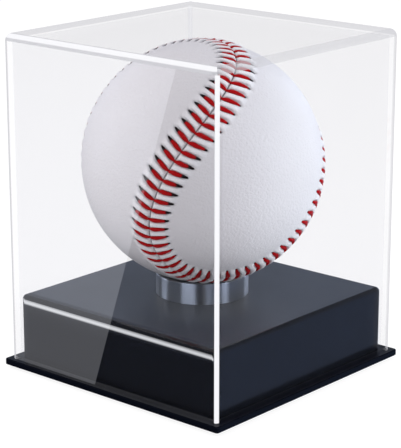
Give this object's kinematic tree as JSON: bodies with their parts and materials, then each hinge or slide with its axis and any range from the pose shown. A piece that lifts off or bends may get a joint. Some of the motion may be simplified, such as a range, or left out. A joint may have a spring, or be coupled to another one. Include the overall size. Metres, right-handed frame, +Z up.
{
  "type": "baseball display case",
  "caption": "Clear lift-off display cover on a black base, with a metal ring holding a stitched leather baseball.",
  "frame": {"origin": "centre of the case's underside, at the bottom of the feet", "axes": "+Z up; -Y is the front pane and +X the right pane of the cover; the case is square about Z"},
  "size_m": [0.088, 0.088, 0.106],
  "materials": {
    "black_acrylic": "polished black, near mirror gloss",
    "clear_acrylic": "water clear, polished",
    "ring_metal": "fine turned, satin polished",
    "foot_rubber": "matt",
    "screw_steel": "zinc plated",
    "cork": "granular composition cork",
    "black_rubber": "moulded, matt",
    "red_rubber": "moulded, satin",
    "grey_wool": "wound yarn",
    "white_wool": "wound yarn",
    "white_cotton": "fine wound yarn",
    "white_leather": "fine grain, satin",
    "red_thread": "waxed, twisted"
  },
  "bodies": {
    "base": {"base_plate": "black_acrylic", "plinth": "black_acrylic", "front_left_foot": "foot_rubber", "front_right_foot": "foot_rubber", "rear_left_foot": "foot_rubber", "rear_right_foot": "foot_rubber", "plinth_screws": "screw_steel"},
    "cover": {"clear_cover": "clear_acrylic"},
    "ring": {"support_ring": "ring_metal"},
    "ball": {"cork_core": "cork", "core_half_shell_a": "black_rubber", "core_half_shell_b": "black_rubber", "core_gasket": "red_rubber", "core_outer_shell": "red_rubber", "first_wool_winding": "grey_wool", "second_wool_winding": "white_wool", "third_wool_winding": "grey_wool", "cotton_finish_winding": "white_cotton", "leather_panel_a": "white_leather", "leather_panel_b": "white_leather", "seam_thread": "red_thread"}
  },
  "joints": [
    {"name": "cover_lift", "type": "slide", "parent": "base", "child": "cover", "axis": [0, 0, 1], "range_m": [0, 0.23]},
    {"name": "ring_turn", "type": "hinge", "parent": "base", "child": "ring", "pos_m": [0, 0, 0.0239], "axis": [0, 0, 1], "continuous": true},
    {"name": "ball_lift", "type": "slide", "parent": "ring", "child": "ball", "axis": [0, 0, 1], "range_m": [0, 0.1]}
  ],
  "couplings": [
    {"joint": "ball_lift", "follows": "cover_lift", "ratio": 0.43}
  ]
}
